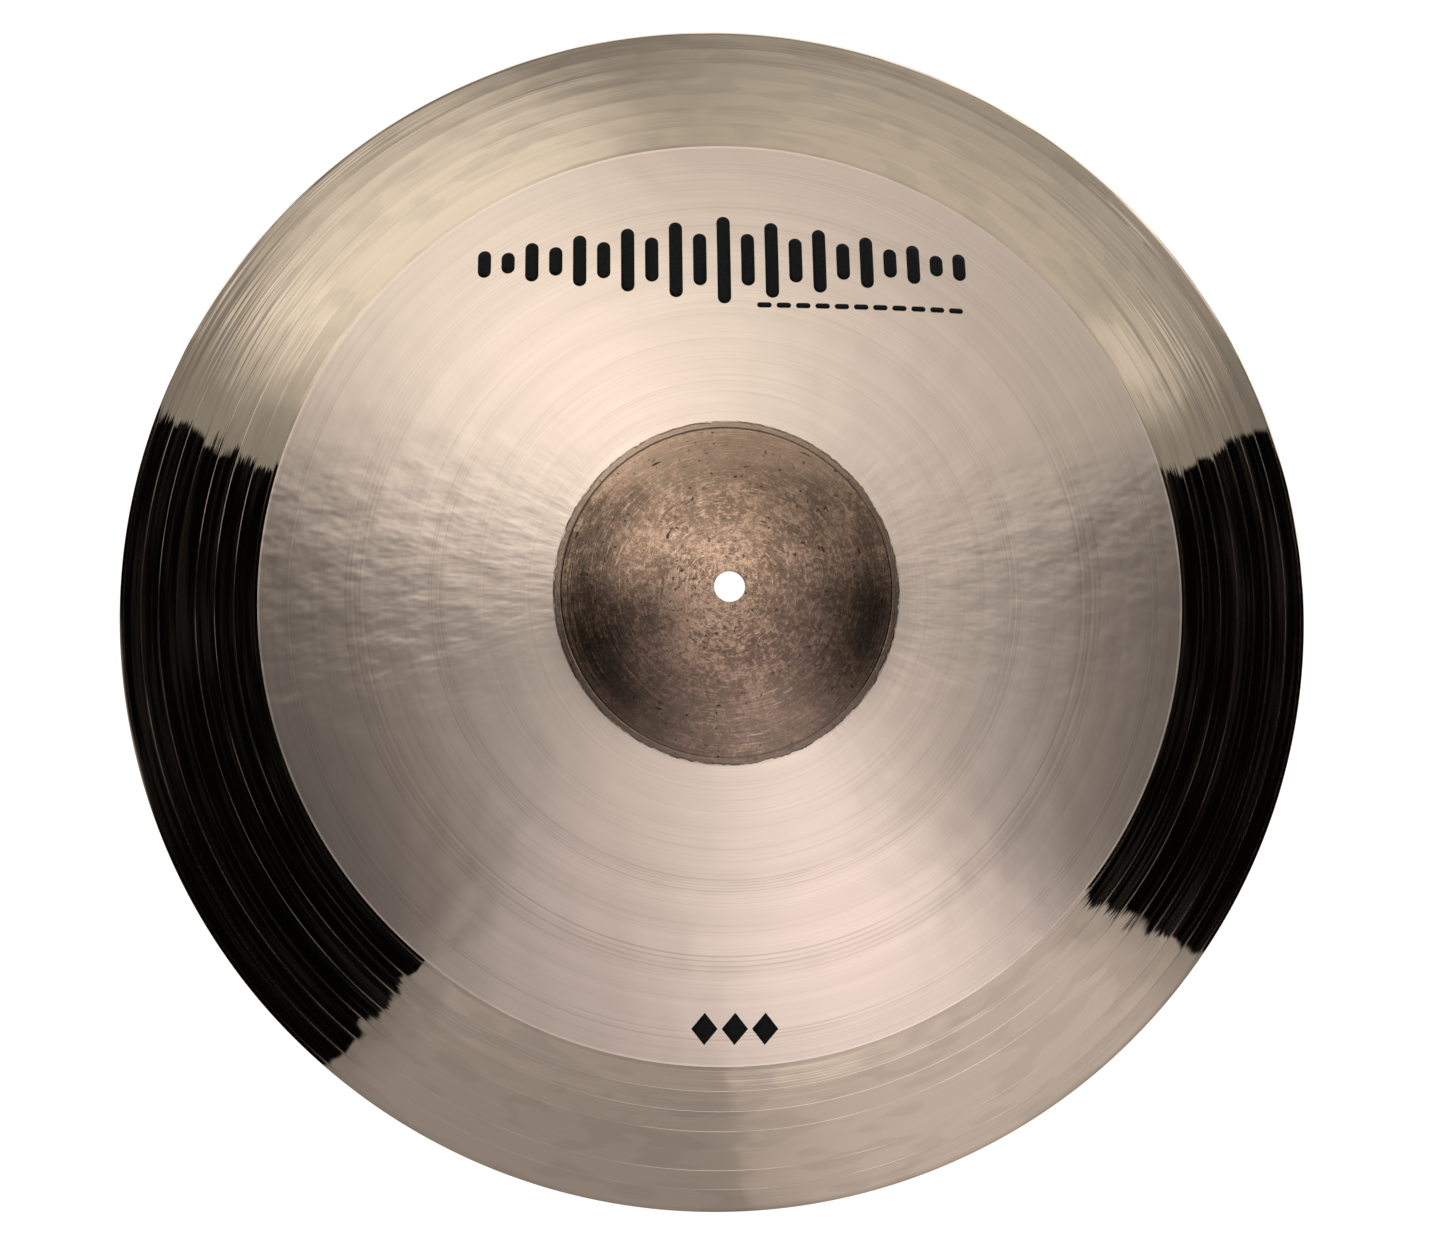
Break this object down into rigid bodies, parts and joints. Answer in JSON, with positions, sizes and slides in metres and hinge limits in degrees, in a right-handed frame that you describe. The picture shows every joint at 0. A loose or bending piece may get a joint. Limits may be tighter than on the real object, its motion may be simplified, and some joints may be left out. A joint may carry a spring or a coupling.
{
  "type": "ride cymbal",
  "caption": "Large bowed ride cymbal with a low raw bell, a satin lathed bow, a polished outer band and a centre hole, with plain printed marks.",
  "frame": {"origin": "centre of the rim's lowest circle, on the plane that the rim rests on", "axes": "+Z along the centre hole's axis, from the rim plane up towards the bell; +Y from the centre towards the larger printed mark"},
  "size_m": [0.508, 0.508, 0.0469],
  "materials": {
    "bronze": "tin bronze: satin lathed bow, mirror-polished outer band, raw brown bell",
    "ink": "thin black printing ink, slightly glossy"
  },
  "bodies": {
    "root": {"cymbal": "bronze", "upper_ink_mark": "ink", "ink_rule_line": "ink", "lower_ink_mark": "ink"}
  },
  "joints": []
}
